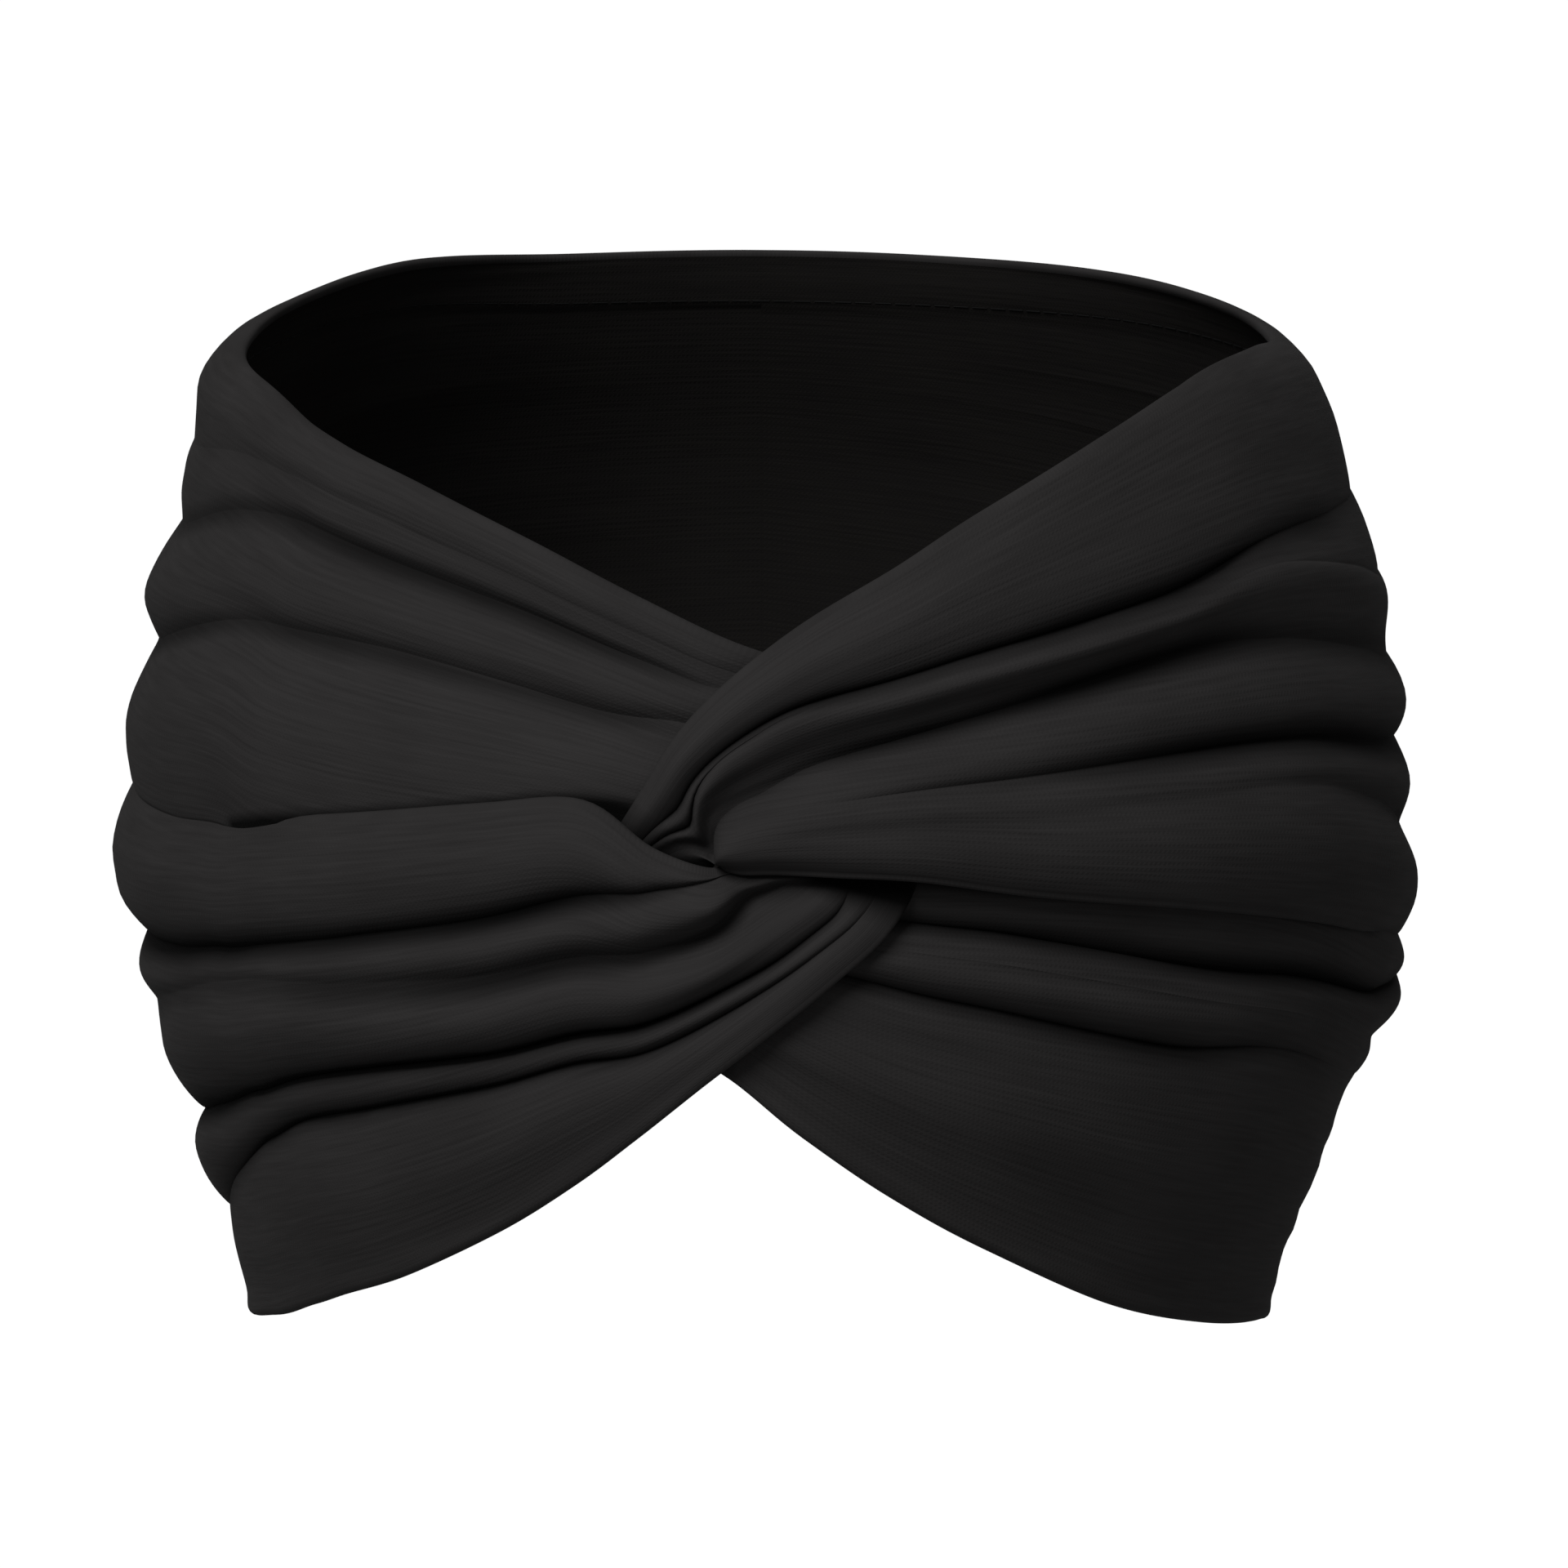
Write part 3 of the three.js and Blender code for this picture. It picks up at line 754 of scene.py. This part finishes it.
def band_mesh(name, points, mirrored):
    """One band as a closed mesh: its two faces, its rounded edges, its slit and its sewn ends."""
    joined, face, lining = points["joined"], points["face"], points["lining"]
    noses = len(EDGE_NOSE)
    # where the slit starts, the noses lie straight between face and lining, and both legs share them
    ramp = np.linspace(0, 1, noses + 2)[1:-1, None]
    for row in slit_ends(joined):
        points["slit"][row] = face[row, 0] + (lining[row, 0] - face[row, 0]) * ramp
    blocks = [face, lining, points["edge"], points["slit"]]
    numbers, count = [], 0
    for block in blocks:
        numbers.append(count + np.arange(block.shape[0] * block.shape[1]).reshape(block.shape[:2]))
        count += numbers[-1].size
    polygons, inside, end_faces = band_polygons(numbers, joined, mirrored)
    places = np.concatenate([block.reshape(-1, 3) for block in blocks]) * MM

    def over_blocks(values):
        # the lining has the face's values, and an edge those of the face's points beside it
        nosed = [np.repeat(values[:, [column]], noses, 1) for column in (-1, 0)]
        return np.concatenate([block.reshape(-1, *values.shape[2:]) for block in (values, values, *nosed)])

    used = np.zeros(count, bool)
    used[np.concatenate([np.asarray(polygon) for polygon in polygons])] = True
    renumbered = np.cumsum(used) - 1
    mesh = bpy.data.meshes.new(name)
    mesh.from_pydata(places[used].tolist(), [], [renumbered[polygon].tolist() for polygon in polygons])
    layer = mesh.uv_layers.new(name="cloth")
    corner = np.empty(len(mesh.loops), int)
    mesh.loops.foreach_get("vertex_index", corner)
    cloth = over_blocks(points["cloth"])[used] * MM
    layer.data.foreach_set("uv", cloth[corner].astype(np.float32).ravel())
    smooth = np.arange(len(mesh.polygons)) < len(mesh.polygons) - end_faces
    mesh.polygons.foreach_set("use_smooth", smooth)
    mesh.polygons.foreach_set("material_index", inside)
    # the painted shade goes on each point, for the material to darken the colour with
    shade = mesh.attributes.new("painted_shade", "FLOAT", "POINT")
    shade.data.foreach_set("value", over_blocks(points["painted_shade"])[used].astype(np.float32))
    mesh.update()
    if mesh.validate():
        raise RuntimeError(f"{name} has faces that don't fit together")
    return mesh


def add_node(tree, kind, settings=(), **inputs):
    """Adds a node with its settings, and its inputs set or linked by name or number."""
    made = tree.nodes.new(kind)
    for key, value in dict(settings).items():
        setattr(made, key, value)
    for key, value in inputs.items():
        socket = made.inputs[int(key[1:]) if key[0] == "_" else key.replace("_", " ")]
        if isinstance(value, bpy.types.NodeSocket):
            tree.links.new(value, socket)
        else:
            socket.default_value = value
    return made


def new_material(name):
    """An empty node material and its tree."""
    material = bpy.data.materials.new(name)
    material.use_nodes = True
    material.node_tree.nodes.clear()
    return material, material.node_tree


def black_jersey(name, packed, stretched, painted_crease_shade, sheen):
    """Cotton jersey, circular knitted and piece dyed black.

    To the eye it is a matte near-black with a faint bloom where fibre ends catch the light, rows of
    small knit loops, and streaks along the band where the knit is pulled. Its colour is darkened
    as painted shade in creases, under the other leg and in the twist.
    """
    material, tree = new_material(name)
    cloth = add_node(tree, "ShaderNodeUVMap", {"uv_map": "cloth"})
    # places on the cloth in millimetres: along the band, then across it
    to_mm = add_node(tree, "ShaderNodeMapping", _0=cloth.outputs[0], Scale=[1 / MM] * 3)
    pull = (1 / STREAK_LENGTH, 1 / STREAK_WIDTH, 1)
    pulled = add_node(tree, "ShaderNodeMapping", _0=to_mm.outputs[0], Scale=pull)
    streaks = add_node(
        tree, "ShaderNodeTexNoise", _0=pulled.outputs[0], Scale=1.0, Detail=3.0, Roughness=0.6
    ).outputs[0]
    clouds = add_node(tree, "ShaderNodeTexNoise", _0=to_mm.outputs[0], Scale=1 / CLOUD, Detail=2.0)
    # knit loops: the yarn runs up and down in slanted legs
    parts = add_node(tree, "ShaderNodeSeparateXYZ", _0=to_mm.outputs[0])
    wale = add_node(tree, "ShaderNodeMath", {"operation": "DIVIDE"}, _0=parts.outputs[1], _1=WALE)
    leg = add_node(tree, "ShaderNodeMath", {"operation": "PINGPONG"}, _0=wale.outputs[0], _1=0.5)
    course = add_node(tree, "ShaderNodeMath", {"operation": "DIVIDE"}, _0=parts.outputs[0], _1=COURSE)
    slant = add_node(tree, "ShaderNodeMath", {"operation": "ADD"}, _0=course.outputs[0], _1=leg.outputs[0])
    turns = add_node(tree, "ShaderNodeMath", {"operation": "MULTIPLY"}, _0=slant.outputs[0], _1=2 * pi)
    yarn = add_node(tree, "ShaderNodeMath", {"operation": "SINE"}, _0=turns.outputs[0])
    weighed = {"operation": "MULTIPLY_ADD"}
    rib = add_node(tree, "ShaderNodeMath", weighed, _0=yarn.outputs[0], _1=0.35, _2=leg.outputs[0])
    knit = add_node(tree, "ShaderNodeBump", Strength=0.16, Distance=0.2 * MM, Height=rib.outputs[0])
    drawn = add_node(
        tree, "ShaderNodeBump", Strength=0.2, Distance=0.4 * MM, Height=streaks, Normal=knit.outputs[0]
    )
    blend = add_node(tree, "ShaderNodeMath", weighed, _0=clouds.outputs[0], _1=0.5, _2=streaks)
    pull_share = add_node(tree, "ShaderNodeMapRange", _0=blend.outputs[0], From_Min=0.45, From_Max=1.05)
    mixed = {"data_type": "RGBA"}
    dyed = add_node(tree, "ShaderNodeMix", mixed, _0=pull_share.outputs[0], _6=packed, _7=stretched)
    # painted shade: where the point attribute computed from the folds is high, in creases, under the other
    # leg and in the twist, the colour is darkened towards the crease colour
    fold = add_node(tree, "ShaderNodeAttribute", {"attribute_name": "painted_shade"}).outputs[2]
    dark = add_node(tree, "ShaderNodeMapRange", _0=fold, From_Min=0.1, From_Max=0.9, To_Max=0.95)
    shaded = add_node(tree, "ShaderNodeMix", mixed, _0=dark.outputs[0], _6=dyed.outputs[2], _7=painted_crease_shade)
    shader = add_node(
        tree,
        "ShaderNodeBsdfPrincipled",
        Base_Color=shaded.outputs[2],
        Roughness=0.82,
        IOR=1.5,
        Specular_IOR_Level=0.01,
        Sheen_Weight=sheen,
        Sheen_Roughness=0.5,
        Normal=drawn.outputs[0],
    )
    add_node(tree, "ShaderNodeOutputMaterial", Surface=shader.outputs[0])
    return material


def sewing_thread(colours):
    """Spun polyester sewing thread, twisted and dyed: fine ridges round it give a soft broken gloss."""
    material, tree = new_material("spun_polyester_thread")
    place = add_node(tree, "ShaderNodeTexCoord")
    plies = add_node(tree, "ShaderNodeTexNoise", _0=place.outputs[3], Scale=1 / (PLY * MM), Detail=1.0)
    ridges = add_node(tree, "ShaderNodeBump", Strength=0.4, Distance=0.1 * MM, Height=plies.outputs[0])
    shader = add_node(
        tree,
        "ShaderNodeBsdfPrincipled",
        Base_Color=colours.thread,
        Roughness=0.75,
        Specular_IOR_Level=0.08,
        Normal=ridges.outputs[0],
    )
    add_node(tree, "ShaderNodeOutputMaterial", Surface=shader.outputs[0])
    return material


def matte_floor(colours):
    """Matte painted board: pale, with the faintest grain."""
    material, tree = new_material("matte_painted_board")
    place = add_node(tree, "ShaderNodeTexCoord")
    grain = add_node(tree, "ShaderNodeTexNoise", _0=place.outputs[3], Scale=60.0, Detail=2.0)
    bump = add_node(tree, "ShaderNodeBump", Strength=0.02, Distance=0.5 * MM, Height=grain.outputs[0])
    shader = add_node(
        tree, "ShaderNodeBsdfPrincipled", Base_Color=colours.floor, Roughness=0.9, Normal=bump.outputs[0]
    )
    add_node(tree, "ShaderNodeOutputMaterial", Surface=shader.outputs[0])
    return material


def add_object(name, data):
    """An object at the origin, in the scene."""
    made = bpy.data.objects.new(name, data)
    bpy.context.scene.collection.objects.link(made)
    return made


def both_bands(sizes):
    """Each band's name and points, and whether its faces wind the other way."""
    for band in BANDS:
        yield band["name"], band_points(band, sizes), band["mirrored"]


class HEADBAND_OT_bands(bpy.types.Operator):
    """Builds the left and the right band, gathered and folded through each other"""

    bl_idname = "headband.bands"
    bl_label = "Gathered bands"

    def execute(self, context):
        sizes = context.scene.headband_sizes
        colours = context.scene.headband_colours
        outside = black_jersey(
            "black_cotton_jersey", colours.jersey, colours.jersey_stretched, colours.painted_crease_shade, sheen=BLOOM
        )
        # the inside takes a darker copy of the jersey, without bloom: painted shade for the inside of the
        # band
        inside = black_jersey(
            "black_cotton_jersey_back_painted_shade", colours.lining, colours.lining_stretched, colours.lining, sheen=0.0
        )
        for name, points, mirrored in both_bands(sizes):
            mesh = band_mesh(f"{name}_cloth", points, mirrored)
            mesh.materials.append(outside)
            mesh.materials.append(inside)
            cloth = add_object(f"{name}_cloth", mesh)
            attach(cloth, "root")
            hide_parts(name)
        return {"FINISHED"}


def stitch_tree(material):
    """Geometry Nodes that lay stitches of thread along a curve."""
    tree = bpy.data.node_groups.new("Stitches along a hem", "GeometryNodeTree")
    tree.is_modifier = True
    interface = tree.interface
    interface.new_socket("Geometry", in_out="OUTPUT", socket_type="NodeSocketGeometry")
    interface.new_socket("Geometry", in_out="INPUT", socket_type="NodeSocketGeometry")
    for name in ("Stitch length", "Stitch pitch", "Thread thickness"):
        interface.new_socket(name, in_out="INPUT", socket_type="NodeSocketFloat")
    given = add_node(tree, "NodeGroupInput").outputs
    times = {"operation": "MULTIPLY"}
    half = add_node(tree, "ShaderNodeMath", times, _0=given[1], _1=0.5).outputs[0]
    less = add_node(tree, "ShaderNodeMath", times, _0=given[1], _1=-0.5).outputs[0]
    radius = add_node(tree, "ShaderNodeMath", times, _0=given[3], _1=0.5).outputs[0]
    head = add_node(tree, "ShaderNodeCombineXYZ", Z=half).outputs[0]
    tail = add_node(tree, "ShaderNodeCombineXYZ", Z=less).outputs[0]
    line = add_node(tree, "GeometryNodeCurvePrimitiveLine", Start=tail, End=head).outputs[0]
    ring = add_node(tree, "GeometryNodeCurvePrimitiveCircle", Resolution=6, Radius=radius).outputs[0]
    stitch = add_node(tree, "GeometryNodeCurveToMesh", Curve=line, Profile_Curve=ring, Fill_Caps=True)
    spots = add_node(
        tree, "GeometryNodeCurveToPoints", {"mode": "LENGTH"}, Curve=given[0], Length=given[2]
    ).outputs
    laid = add_node(
        tree,
        "GeometryNodeInstanceOnPoints",
        Points=spots["Points"],
        Instance=stitch.outputs[0],
        Rotation=spots["Rotation"],
    ).outputs[0]
    real = add_node(tree, "GeometryNodeRealizeInstances", Geometry=laid).outputs[0]
    dyed = add_node(tree, "GeometryNodeSetMaterial", Geometry=real, Material=material).outputs[0]
    add_node(tree, "NodeGroupOutput", Geometry=dyed)
    return tree


class HEADBAND_OT_hem_stitches(bpy.types.Operator):
    """Sews the line of stitches inside the back, below the rim"""

    bl_idname = "headband.hem_stitches"
    bl_label = "Hem stitches"

    def execute(self, context):
        sizes = context.scene.headband_sizes
        material = sewing_thread(context.scene.headband_colours)
        curve = bpy.data.curves.new("hem_line", "CURVE")
        curve.dimensions = "3D"
        for _, points, _ in both_bands(sizes):
            hemmed = np.flatnonzero(points["has_hem"])
            depth = (sizes.hem_depth - sizes.stitch_margin) / MM
            places = [
                [np.interp(-depth, -points["below_rim"][row], axis) for axis in points["lining"][row].T]
                for row in hemmed
            ]
            places = np.array(places) * MM
            spline = curve.splines.new("POLY")
            spline.points.add(len(places) - 1)
            spline.points.foreach_set("co", np.column_stack((places, np.ones(len(places)))).ravel())
        path = add_object("hem_line", curve)
        tree = stitch_tree(material)
        modifier = path.modifiers.new("Stitches", "NODES")
        modifier.node_group = tree
        given = {item.name: item.identifier for item in tree.interface.items_tree if item.in_out == "INPUT"}
        modifier[given["Stitch length"]] = sizes.stitch_length
        modifier[given["Stitch pitch"]] = sizes.stitch_pitch
        modifier[given["Thread thickness"]] = sizes.thread
        evaluated = path.evaluated_get(context.evaluated_depsgraph_get())
        mesh = bpy.data.meshes.new_from_object(evaluated)
        mesh.name = "hem_stitches"
        bpy.data.objects.remove(path)
        if not mesh.polygons:
            raise RuntimeError("no stitches were laid")
        stitches = add_object("hem_stitches", mesh)
        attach(stitches, "root")
        return {"FINISHED"}


class HEADBAND_OT_stage(bpy.types.Operator):
    """Sets the floor, the studio light and the camera"""

    bl_idname = "headband.stage"
    bl_label = "Floor, light and camera"

    def execute(self, context):
        scene = context.scene
        stage = scene.headband_stage
        floor_mesh = bpy.data.meshes.new("floor")
        reach = FLOOR_REACH
        low = -stage.floor_drop
        corners = [(-reach, -reach, low), (reach, -reach, low), (reach, reach, low), (-reach, reach, low)]
        floor_mesh.from_pydata(corners, [], [(0, 1, 2, 3)])
        floor_mesh.materials.append(matte_floor(scene.headband_colours))
        floor = add_object("floor", floor_mesh)
        # black cards under a black thing keep the floor's light off it
        floor.visible_diffuse = False
        floor.visible_glossy = False
        # one broad key from the upper left, and soft light from all round
        light = bpy.data.lights.new("key", "SUN")
        light.energy = stage.key_strength
        light.angle = stage.key_spread
        key = add_object("key", light)
        key.rotation_euler = Vector(stage.key_direction).to_track_quat("-Z", "Y").to_euler()
        world = bpy.data.worlds.new("studio")
        world.use_nodes = True
        background = world.node_tree.nodes["Background"]
        background.inputs["Color"].default_value = linear("#ffffff")
        background.inputs["Strength"].default_value = stage.fill_strength
        scene.world = world
        scene.view_settings.view_transform = "Standard"
        lens = bpy.data.cameras.new("camera")
        lens.sensor_width = SENSOR_WIDTH
        lens.lens = stage.lens
        lens.clip_end = 100
        camera = add_object("camera", lens)
        tilt = stage.elevation
        back = Vector((0, -cos(tilt), sin(tilt)))
        right = Vector((1, 0, 0))
        axes = Matrix((right, back.cross(right), back)).transposed().to_4x4()
        camera.matrix_world = Matrix.Translation(Vector(stage.aim) + back * stage.distance) @ axes
        scene.camera = camera
        return {"FINISHED"}


class HEADBAND_PT_panel(bpy.types.Panel):
    """The headband's sizes, colours and pieces"""

    bl_idname = "HEADBAND_PT_panel"
    bl_label = "Twist headband"
    bl_space_type = "VIEW_3D"
    bl_region_type = "UI"
    bl_category = "Headband"

    def draw(self, context):
        layout = self.layout
        scene = context.scene
        for group in (scene.headband_sizes, scene.headband_colours, scene.headband_stage):
            box = layout.box()
            for name in group.bl_rna.properties.keys():
                if name not in ("rna_type", "name"):
                    box.prop(group, name)
        for operator in OPERATORS:
            layout.operator(operator.bl_idname)


OPERATORS = (HEADBAND_OT_bands, HEADBAND_OT_hem_stitches, HEADBAND_OT_stage)
CLASSES = (HeadbandSizes, HeadbandColours, HeadbandStage, *OPERATORS, HEADBAND_PT_panel)


def register():
    """Makes the sizes, the operators and the panel known to Blender."""
    for cls in CLASSES:
        bpy.utils.register_class(cls)
    bpy.types.Scene.headband_sizes = PointerProperty(type=HeadbandSizes)
    bpy.types.Scene.headband_colours = PointerProperty(type=HeadbandColours)
    bpy.types.Scene.headband_stage = PointerProperty(type=HeadbandStage)


def unregister():
    """Takes back what register made known."""
    del bpy.types.Scene.headband_stage
    del bpy.types.Scene.headband_colours
    del bpy.types.Scene.headband_sizes
    for cls in reversed(CLASSES):
        bpy.utils.unregister_class(cls)


def main():
    """Builds the headband."""
    register()
    bpy.ops.headband.bands()
    bpy.ops.headband.hem_stitches()
    bpy.ops.headband.stage()


if __name__ == "__main__":
    main()
